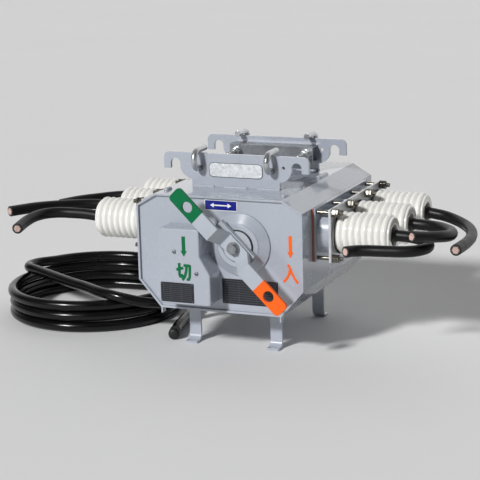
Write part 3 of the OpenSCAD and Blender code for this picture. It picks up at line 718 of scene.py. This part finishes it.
def smooth_path(points, steps=6):
    """Points along a smooth line through the given ones."""
    ends = [points[0] * 2 - points[1], *points, points[-1] * 2 - points[-2]]
    line = []
    for a, b, c, d in zip(ends, ends[1:], ends[2:], ends[3:]):
        for s in range(steps):
            t = s / steps
            line.append((b * 2 + (c - a) * t + (a * 2 - b * 5 + c * 4 - d) * t ** 2
                         + (b * 3 - a - c * 3 + d) * t ** 3) / 2)
    return line + [points[-1]]


def path_length(line):
    """Length along a line of points."""
    return sum((b - a).length for a, b in zip(line, line[1:]))


def cable(name, line, diameter, material):
    """Round cable along a line, as one open curve."""
    curve = bpy.data.curves.new(name, "CURVE")
    curve.dimensions = "3D"
    curve.bevel_depth = diameter / 2
    curve.bevel_resolution = 5
    curve.use_fill_caps = True
    spline = curve.splines.new("POLY")
    spline.points.add(len(line) - 1)
    for point, place in zip(spline.points, line):
        point.co = (*place, 1.0)
    spline.use_smooth = True
    curve.materials.append(material)
    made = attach(as_object(name, curve), BODY)
    return made


def hexagon_pack(rings, pitch):
    """Places of round wires packed together, in rings round a middle one."""
    places = []
    for q in range(-rings, rings + 1):
        for r in range(-rings, rings + 1):
            if abs(q + r) <= rings:
                places.append((pitch * (q + r / 2), pitch * r * math.sqrt(3) / 2))
    return places


def cut_end(name, line):
    """Cut end of a lead: the wires standing a little out of their insulation. Returns its two pieces."""
    tip, run = line[-1], (line[-1] - line[-2]).normalized()
    facing = looking(run, tip)
    layer = lathe([(0, -1 * MM), (LAYER_R, -1 * MM), (LAYER_R, 0.5 * MM), (0, 0.7 * MM)], 32)
    wire = lathe([(0, 0), (WIRE_R, 0), (WIRE_R, 1.7 * MM), (WIRE_R * 0.7, 2.1 * MM), (0, 2.2 * MM)], 10)
    places = [(facing @ Vector((x, y, 0)), run) for x, y in hexagon_pack(WIRE_RINGS, WIRE_PITCH)]
    return [
        piece(name + "_insulation", placed(layer, facing), insulation),
        set_out(name + "_wires", wire, places, copper, smooth=40),
    ]


for side, sign in SIDES.items():
    sleeve_end = outer_x(f"{side}_sleeves", sign)
    for station in STATIONS:
        low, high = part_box(f"{side}_{station}_insulator")
        start = Vector((sleeve_end, (low.y + high.y) / 2, (low.z + high.z) / 2))
        line = smooth_path([start + Vector(p) * MM for p in LEAD_ROUTES[f"{side}_{station}"]])
        lead = cable(f"{side}_{station}_cable", line, LEAD_D, lead_sheath)
        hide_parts(f"{side}_{station}_lead")
        round(path_length(line), 3)
        cut_end(f"{side}_{station}_end", line)


def control_line():
    """Line of the control cable: gland, across the coil, down its turns and out under the tank."""
    points = [Vector((x, y, z)) for x, y, z in CONTROL_ROUTE]
    for step in range(0, 360 * COIL_TURNS, RING_STEP):
        turn, level = step % 360, step // 360
        fall = min(turn / STEP_TURN, 1.0)
        fall = fall * fall * (3 - 2 * fall)
        height = COIL_TOP - CONTROL_D / MM * (level + fall)
        sway = COIL_SWAY * math.sin(math.radians(turn * 2 + SWAY_SHIFT * level))
        radius = COIL_R + sway + TURN_OFFSETS[level]
        angle = math.radians(90 - turn)
        points.append(Vector((COIL_CENTRE[0] + radius * math.cos(angle),
                              COIL_CENTRE[1] + radius * math.sin(angle), height)))
    points += [Vector((x, y, z)) for x, y, z in TAIL_ROUTE]
    floor_middle = Vector((TANK.x, TANK.y, 0))
    return smooth_path([floor_middle + p * MM for p in points], 5)


line = control_line()
control = cable("control_cord", line, CONTROL_D, sheath)
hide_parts("control_cable", "control_coil", "control_tail")
# Cap on the cable's end: (radius, distance past the end) in millimetres, and its lift off the floor
CAP_LIFT = 0.6 * MM
CAP = [(0, -16), (11.2, -16), (11.6, -15.4), (11.6, -12.6), (11.3, -12), (11.3, -8), (11.6, -7.4), (11.6, 6),
       (11.0, 9.4), (9.2, 11.6), (6.4, 12.6), (0, 12.8)]
end_cap = placed(
    lathe([(r * MM, h * MM) for r, h in CAP], 40),
    looking((line[-1] - line[-2]).normalized(), line[-1] + Vector((0, 0, CAP_LIFT))),
)
end_cap = piece("control_end_cap", end_cap, rubber, smooth=40)
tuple(line[0])
round(path_length(line), 2)


# Bushings

RIBS, RIB_STEPS, RIB_FULLNESS, TIP_STEPS = 8, 10, 0.65, 6
BASE_L, GASKET_LOW, GASKET_HIGH, GASKET_IN, GASKET_OUT = 5.5 * MM, 3.4 * MM, 5 * MM, 30 * MM, 42 * MM
GROOVE, TIP_L, TIP_ROUND = 5.4 * MM, 4 * MM, 2.5 * MM
MOUTH_R, MOUTH_D, MOUTH_LIP, BOOT_R = 21 * MM, 9 * MM, 1.5 * MM, 13 * MM


def insulator_profile(radius, length):
    """Glazed body from its base to its mouth, as (radius, height) points."""
    root = radius - GROOVE
    profile = [(0, 0), (radius - 3 * MM, 0), (radius - 2 * MM, 1 * MM), (radius - 2 * MM, BASE_L - 1 * MM),
               (root, BASE_L)]
    pitch = (length - BASE_L - TIP_L) / RIBS
    for i in range(RIBS):
        for s in range(1, RIB_STEPS + 1):
            t = s / RIB_STEPS
            swell = math.sin(math.pi * t) ** RIB_FULLNESS if s < RIB_STEPS else 0.0
            profile.append((root + GROOVE * swell, BASE_L + (i + t) * pitch))
    for s in range(TIP_STEPS + 1):
        turn = math.pi / 2 * s / TIP_STEPS
        profile.append((root - TIP_ROUND * (1 - math.cos(turn)), length - TIP_ROUND * (1 - math.sin(turn))))
    profile += [(MOUTH_R + MOUTH_LIP, length), (MOUTH_R + MOUTH_LIP * 0.3, length - MOUTH_LIP * 0.3),
                (MOUTH_R, length - MOUTH_LIP), (MOUTH_R, length - MOUTH_D), (0, length - MOUTH_D)]
    return profile


def boot_profile(radius, length):
    """Rubber boot round a lead, stepped down towards the cable."""
    neck = LEAD_D / 2 + 0.8 * MM
    return [(0, 0), (radius + 3 * MM, 0), (radius + 3 * MM, length * 0.5), (radius + 1 * MM, length * 0.58),
            (radius - 0.5 * MM, length * 0.62), (radius - 1.2 * MM, length * 0.86), (neck, length),
            (0, length)]


for side, sign in SIDES.items():
    low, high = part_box(f"{side}_sleeves")
    boot = lathe(boot_profile(BOOT_R, high.x - low.x), 40)
    boot_x = outer_x(f"{side}_sleeves", -sign)
    boots, gaskets = [], []
    for station in STATIONS:
        name = f"{side}_{station}_insulator"
        low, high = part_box(name)
        middle_y, middle_z = (low.y + high.y) / 2, (low.z + high.z) / 2
        facing = looking((sign, 0, 0), (outer_x(name, -sign), middle_y, middle_z))
        body = placed(lathe(insulator_profile((high.z - low.z) / 2, high.x - low.x), 72), facing)
        piece(f"{side}_{station}_porcelain", body, glaze, smooth=50, node=name)
        gaskets.append(placed(ring(GASKET_IN, GASKET_OUT, GASKET_LOW, GASKET_HIGH, 0.4 * MM), facing))
        boots.append(placed(boot, looking((sign, 0, 0), (boot_x, middle_y, middle_z))))
    piece(f"{side}_boots", joined(boots), rubber, smooth=40, node=f"{side}_sleeves")
    piece(f"{side}_gaskets", joined(gaskets), rubber)


# Fasteners

def raised(shape, height):
    """Shape moved up along Z."""
    return placed(shape, Matrix.Translation((0, 0, height)))


# STUD_SEAT is the width across flats of the plain nuts in the CAD model, which gives the studs' places
STUD_R, STUD_CORE_R, STUD_SEAT, STUD_PITCH, STUD_THREAD = 4 * MM, 3.7 * MM, 13 * MM, 1.25 * MM, 0.5 * MM
STUD_NUT_FLATS, STUD_NUT_H, LOCK_NUT_H, NUT_GAP = 15 * MM, 7.5 * MM, 4.5 * MM, 0.4 * MM
STUD_WASHER_R, STUD_WASHER_T = 8.8 * MM, 1.4 * MM
for side, sign in SIDES.items():
    stud_low, stud_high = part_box(f"{side}_clamp_studs")
    root_x = outer_x(f"{side}_pad", sign)
    seat = abs(outer_x(f"{side}_clamp_plate", sign)) - abs(root_x)
    reach = stud_high.x - stud_low.x
    stud = joined([
        lathe([(0, 0), (STUD_R, 0), (STUD_R, seat), (0, seat)], 24),
        raised(rod_shape(STUD_CORE_R, reach - seat, STUD_PITCH, STUD_THREAD), seat),
        raised(nut(STUD_NUT_FLATS, STUD_R, STUD_NUT_H), seat + STUD_WASHER_T),
        raised(nut(STUD_NUT_FLATS, STUD_R, LOCK_NUT_H), seat + STUD_WASHER_T + STUD_NUT_H + NUT_GAP),
        raised(ring(STUD_R, STUD_WASHER_R, 0, STUD_WASHER_T, 0.3 * MM), seat),
    ])
    middle_z = (stud_low.z + stud_high.z) / 2
    row = (stud_high.z - stud_low.z) / 2 - STUD_SEAT / 2
    middle_y = (stud_low.y + stud_high.y) / 2
    end_y = (stud_high.y - stud_low.y) / 2 - STUD_SEAT / math.sqrt(3)
    inner_y = (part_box(f"{side}_back_insulator")[0].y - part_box(f"{side}_front_insulator")[0].y) / 4
    places = [
        (Vector((root_x, middle_y + y, middle_z + z)), Vector((sign, 0, 0)))
        for y in (-end_y, -inner_y, inner_y, end_y) for z in (-row, row)
    ]
    set_out(f"{side}_studs", stud, places, stud_zinc, spin=1.0, node=f"{side}_clamp_studs")

BOLT_R, BOLT_NUT_FLATS, BOLT_NUT_H = 6 * MM, 19 * MM, 10 * MM
# Pitch and depth of the thread, where it starts, and what it leaves free at the bolt's tip
BOLT_PITCH, BOLT_THREAD, THREAD_START, THREAD_FREE = 1.75 * MM, 0.55 * MM, 0.5 * MM, 1.5 * MM
BOLT_BORE, BOLT_WASHER_R, BOLT_WASHER_T = BOLT_R + 0.4 * MM, 12 * MM, 2.5 * MM
SPRING_WASHER_R, SPRING_WASHER_T = 10.2 * MM, 2.6 * MM
bolt_places, bolt_reach = [], 0.0
for end, sign in ENDS.items():
    bar_low, bar_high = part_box(f"{end}_clamp_bar")
    web_y = bar_high.y if sign < 0 else bar_low.y
    for side in SIDES:
        low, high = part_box(f"{end}_{side}_hook_bolt")
        bolt_places.append((Vector(((low.x + high.x) / 2, web_y, low.z + BOLT_R)), Vector((0, -sign, 0))))
        bolt_reach = abs((high.y if sign < 0 else low.y) - web_y)
bolt_nut = joined([
    ring(BOLT_BORE, BOLT_WASHER_R, 0, BOLT_WASHER_T, 0.4 * MM),
    raised(ring(BOLT_BORE, SPRING_WASHER_R, 0, SPRING_WASHER_T, 0.5 * MM), BOLT_WASHER_T),
    raised(nut(BOLT_NUT_FLATS, BOLT_R, BOLT_NUT_H), BOLT_WASHER_T + SPRING_WASHER_T),
])
set_out("hook_bolt_nuts", bolt_nut, bolt_places, bright_zinc, spin=1.0)
thread_l = bolt_reach - THREAD_START - THREAD_FREE
thread = raised(rod_shape(BOLT_R, thread_l, BOLT_PITCH, BOLT_THREAD), THREAD_START)
set_out("hook_bolt_threads", thread, bolt_places, bright_zinc)

# Thin dark ring round the lever's collar, in the rubber finish: painted shade for the shadowed groove at the
# collar's edge
SHADE_RING_IN, SHADE_RING_OUT, SHADE_RING_H = 30.5 * MM, 32.3 * MM, 1.6 * MM
low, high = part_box("lever_boss")
collar_shade = placed(ring(SHADE_RING_IN, SHADE_RING_OUT, 0, SHADE_RING_H, 0.4 * MM),
              looking((0, -1, 0), ((low.x + high.x) / 2, low.y, (low.z + high.z) / 2)))
piece("shaft_seal", collar_shade, rubber, smooth=40)

SCREW_R, SCREW_H = 4.2 * MM, 2.6 * MM
screw = lathe([
    (0, 0), (SCREW_R, 0), (SCREW_R, 0.8 * MM), (SCREW_R * 0.86, 1.8 * MM), (SCREW_R * 0.5, SCREW_H),
    (0, SCREW_H),
], 28)
# Dark crosses standing on the screw heads: painted shade in place of the recessed slots
slot_shade_bars = [
    prism([(-a, -b), (a, -b), (a, b), (-a, b)], SCREW_H - 0.2 * MM, SCREW_H + 0.15 * MM)
    for a, b in ((2.4 * MM, 0.5 * MM), (0.5 * MM, 2.4 * MM))
]
COVER_SCREWS = ((-74, 127), (-28, 86))
screw_places = [(front_point(x, COVER_Y, z), Vector((0, -1, 0))) for x, z in COVER_SCREWS]
set_out("cover_screws", screw, screw_places, galvanised)
set_out("cover_screw_slots", joined(slot_shade_bars), screw_places, rubber, spin=1.2)


# Marks and plates

# Thickness of a mark in millimetres, and the height that each further stroke adds to keep faces apart
MARK_T, STROKE_STEP = 0.3, 0.04


def front_mark(name, outlines, y, material, thick=MARK_T):
    """Thin mark on a front plane from outlines in X and height, in millimetres from the tank's floor."""
    shapes = [placed(prism(o, 0.0, thick + STROKE_STEP * k), on_front(y)) for k, o in enumerate(outlines)]
    return piece(name, joined(shapes), material)


def down_arrow(x, top, tip, shaft, head, head_l):
    """Arrow that points down, as an outline."""
    neck = tip + head_l
    return [(x, tip), (x + head / 2, neck), (x + shaft / 2, neck), (x + shaft / 2, top), (x - shaft / 2, top),
            (x - shaft / 2, neck), (x - head / 2, neck)]


def direction_sign(x0, x1, z, shaft, head, head_l):
    """Plain arrow with a head at each end."""
    return [(x0, z), (x0 + head_l, z - head / 2), (x0 + head_l, z - shaft / 2), (x1 - head_l, z - shaft / 2),
            (x1 - head_l, z - head / 2), (x1, z), (x1 - head_l, z + head / 2), (x1 - head_l, z + shaft / 2),
            (x0 + head_l, z + shaft / 2), (x0 + head_l, z + head / 2)]


def character(strokes, x0, z0, x1, z1, width):
    """Brush strokes given in a unit square, fitted to a box."""
    return [
        stroke([(x0 + u * (x1 - x0), z0 + v * (z1 - z0)) for u, v in path], width) for path in strokes
    ]


OFF_STROKES = [
    [(0.0, 0.60), (0.24, 0.66), (0.48, 0.72)],
    [(0.21, 0.98), (0.21, 0.60), (0.21, 0.30), (0.25, 0.22), (0.34, 0.22), (0.47, 0.32)],
    [(0.50, 0.86), (0.72, 0.86), (0.93, 0.86)],
    [(0.92, 0.90), (0.91, 0.50), (0.88, 0.18), (0.82, 0.08), (0.68, 0.10)],
    [(0.70, 0.88), (0.67, 0.56), (0.58, 0.28), (0.40, 0.03)],
]
ON_STROKES = [
    [(0.30, 1.0), (0.38, 0.96), (0.45, 0.84), (0.56, 0.58), (0.74, 0.28), (0.97, 0.02)],
    [(0.47, 0.80), (0.40, 0.54), (0.26, 0.28), (0.03, 0.06)],
]
front_mark("off_arrow", [down_arrow(-53.5, 158.5, 118.5, 7.6, 14.0, 11.5)], COVER_Y, green_mark)
front_mark("off_mark", character(OFF_STROKES, -70.5, 70.5, -39, 106, 5.6), COVER_Y, green_mark)
front_mark("on_arrow", [down_arrow(148, 161, 118, 6.6, 13.0, 11.5)], FACE_Y, orange_mark)
front_mark("on_mark", character(ON_STROKES, 132.5, 68, 163.5, 104, 4.8), FACE_Y, orange_mark)

# Blue label with a plain sign: left, bottom, right and top edges, widths of its border and beside the sign
BLUE_LABEL, BORDER, SIGN_INSET = (-29, 202, 40, 223.4), 1.6, 12
BORDER_T, FIELD_T, SIGN_T = 0.4, 0.6, 0.75
x0, z0, x1, z1 = BLUE_LABEL
field = rounded_box(x0 + BORDER, z0 + BORDER, x1 - BORDER, z1 - BORDER, 0.6)
sign_arrow = direction_sign(x0 + SIGN_INSET, x1 - SIGN_INSET, (z0 + z1) / 2, 2.6, 9.5, 8.0)
front_mark("blue_label_border", [rounded_box(x0, z0, x1, z1, 1.0)], FACE_Y, label_white, thick=BORDER_T)
front_mark("blue_label_field", [field], FACE_Y, label_blue, thick=FIELD_T)
front_mark("blue_label_sign", [sign_arrow], FACE_Y, label_white, thick=SIGN_T)

# Dark plates with ruled rows: left, bottom, right and top edges, front plane, number of rows
RULED_PLATES = {
    "cover_plate": ((-105, 26.5, -34.5, 65.5), COVER_Y, 9), "face_plate": ((4, 18, 121, 68), FACE_Y, 10),
}
rivet = lathe([(0, 0), (1.5 * MM, 0), (1.35 * MM, 0.5 * MM), (0.8 * MM, 0.85 * MM), (0, 0.9 * MM)], 16)
PLATE_T, ROW_MARGIN, ROW_INSET, COLUMN_INSET, RIVET_INSET = 0.8, 4, 5.5, 5.8, 3
# Width of the lines, thickness and middle height of the rows, and height of the columns over the front plane
LINE_W, ROW_T, ROW_LIFT, COLUMN_T = 0.6, 0.3, 0.85, 1.05
rivet_places = []
for name, ((x0, z0, x1, z1), y, rows) in RULED_PLATES.items():
    front_mark(name, [rounded_box(x0, z0, x1, z1, 2.0)], y, plate_black, thick=PLATE_T)
    spacing = (z1 - z0 - 2 * ROW_MARGIN) / (rows - 1)
    lines = grown(name + "_rows", RULED_ROWS, {
        "Rows": rows, "Spacing": spacing * MM, "Material": plate_lines,
        "Size": ((x1 - x0 - 2 * ROW_INSET) * MM, ROW_T * MM, LINE_W * MM),
    })
    lines.transform(Matrix.Translation(front_point((x0 + x1) / 2, y - ROW_LIFT * MM, z1 - ROW_MARGIN)))
    settled(name + "_rows", lines)
    columns = [
        rounded_box(x - LINE_W / 2, z0 + ROW_MARGIN, x + LINE_W / 2, z1 - ROW_MARGIN, 0.2, 1)
        for x in (x0 + COLUMN_INSET, x0 + (x1 - x0) * 0.3, x0 + (x1 - x0) * 0.62, x1 - COLUMN_INSET)
    ]
    front_mark(name + "_columns", columns, y, plate_lines, thick=COLUMN_T)
    rivet_places += [
        (front_point(x, y - PLATE_T * MM, z), Vector((0, -1, 0)))
        for x in (x0 + RIVET_INSET, x1 - RIVET_INSET) for z in (z0 + RIVET_INSET, z1 - RIVET_INSET)
    ]
set_out("plate_rivets", rivet, rivet_places, plate_lines)

# Bare plate of hammered metal on a slightly larger dark sheet; the dark rim left showing round it is a
# painted shadow of the plate's edge
NAME_PLATE = (-56.5, 250, 58.6, 279)
x0, z0, x1, z1 = NAME_PLATE
shade_rim_outline = rounded_box(x0, z0, x1, z1, 9.0)
bare_plate = rounded_box(x0 + 1.3, z0 + 1.2, x1 - 1, z1 - 1, 8.0)
front_mark("name_plate_backing", [shade_rim_outline], HANGER_Y, plate_black, thick=0.6)
front_mark("name_plate", [bare_plate], HANGER_Y, name_white, thick=1.2)


# Welds where the hanger plates meet the roof

# Stretches of weld along a plate, in millimetres from its middle
WELD_RUNS, WELD_PITCH, WELD_W = ((-92, -48), (-22, 22), (48, 92)), 2.2 * MM, 6 * MM
roof_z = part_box("roof_panel")[1].z
weld_points, weld_edges = [], []


def weld_line(a, b):
    """Adds a stretch of weld between two points."""
    weld_edges.append((len(weld_points), len(weld_points) + 1))
    weld_points.extend((a, b))


for end in ENDS:
    low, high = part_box(f"{end}_hanger")
    for y in (low.y, high.y):
        for x0, x1 in WELD_RUNS:
            weld_line(Vector((TANK.x + x0 * MM, y, roof_z)), Vector((TANK.x + x1 * MM, y, roof_z)))
bead = grown("hanger_welds", WELD_BEAD, {"Pitch": WELD_PITCH, "Width": WELD_W, "Material": weld},
             weld_points, weld_edges)
settled("hanger_welds", bead, smooth=60)


# Floor, light and camera

def flat_floor(size):
    """Plain pale floor."""
    half = size / 2
    corners = [(-half, -half, 0), (half, -half, 0), (half, half, 0), (-half, half, 0)]
    mesh = mesh_of("floor", (corners, [(0, 1, 2, 3)]))
    mesh.materials.append(surface("floor", linear(232, 232, 232), (0.75, 0.85), tone=(1.2, 0.01)))
    as_object("floor", mesh)


def soft_sun(name, azimuth, elevation, spread, strength):
    """Even light out of one direction. The azimuth turns from the front to the right."""
    data = bpy.data.lights.new(name, "SUN")
    data.energy, data.angle = strength, math.radians(spread)
    lamp = as_object(name, data)
    turn, lift = math.radians(azimuth), math.radians(elevation)
    source = Vector((math.sin(turn) * math.cos(lift), -math.cos(turn) * math.cos(lift), math.sin(lift)))
    lamp.rotation_mode = "QUATERNION"
    lamp.rotation_quaternion = (-source).to_track_quat("-Z", "Y")


FLOOR_SIZE = 60.0
flat_floor(FLOOR_SIZE)
soft_sun("key", -19, 33, 7, 2.95)
soft_sun("front", -8, 10, 50, 0.04)
soft_sun("overhead", 60, 80, 70, 0.1)

# Plain surroundings, dark in front and bright behind
world = bpy.data.worlds.new("studio")
world.use_nodes = True
n = Nodes(world.node_tree)
direction = n.add("ShaderNodeSeparateXYZ", {0: n.add("ShaderNodeTexCoord").outputs["Generated"]})
backdrop = n.add("ShaderNodeMapRange", {
    "Value": direction.outputs["Y"], "From Min": 0.1, "From Max": 0.8, "To Min": 0.04, "To Max": 0.9,
}, interpolation_type="SMOOTHSTEP")
background = world.node_tree.nodes["Background"]
n.tree.links.new(backdrop.outputs[0], background.inputs["Strength"])
background.inputs["Color"].default_value = (1.0, 1.0, 1.0, 1.0)
scene.world = world
scene.view_settings.view_transform = "Standard"

CAMERA_AZIMUTH, CAMERA_ELEVATION, CAMERA_ROLL = math.radians(23.33), math.radians(12.98), math.radians(-1.58)
CAMERA_DISTANCE, CAMERA_AIM = 3.521, Vector((-0.0549, 0.030, 0.1819))
CAMERA_LENS, SENSOR_W = 128.1, 36.0
back = Vector((
    math.sin(CAMERA_AZIMUTH) * math.cos(CAMERA_ELEVATION),
    -math.cos(CAMERA_AZIMUTH) * math.cos(CAMERA_ELEVATION),
    math.sin(CAMERA_ELEVATION),
))
lens = bpy.data.cameras.new("camera")
lens.lens, lens.sensor_width = CAMERA_LENS, SENSOR_W
camera = as_object("camera", lens)
camera.location = CAMERA_AIM + back * CAMERA_DISTANCE
camera.rotation_mode = "QUATERNION"
camera.rotation_quaternion = (-back).to_track_quat("-Z", "Y") @ Quaternion((0, 0, 1), CAMERA_ROLL)
scene.camera = camera

bpy.context.view_layer.update()
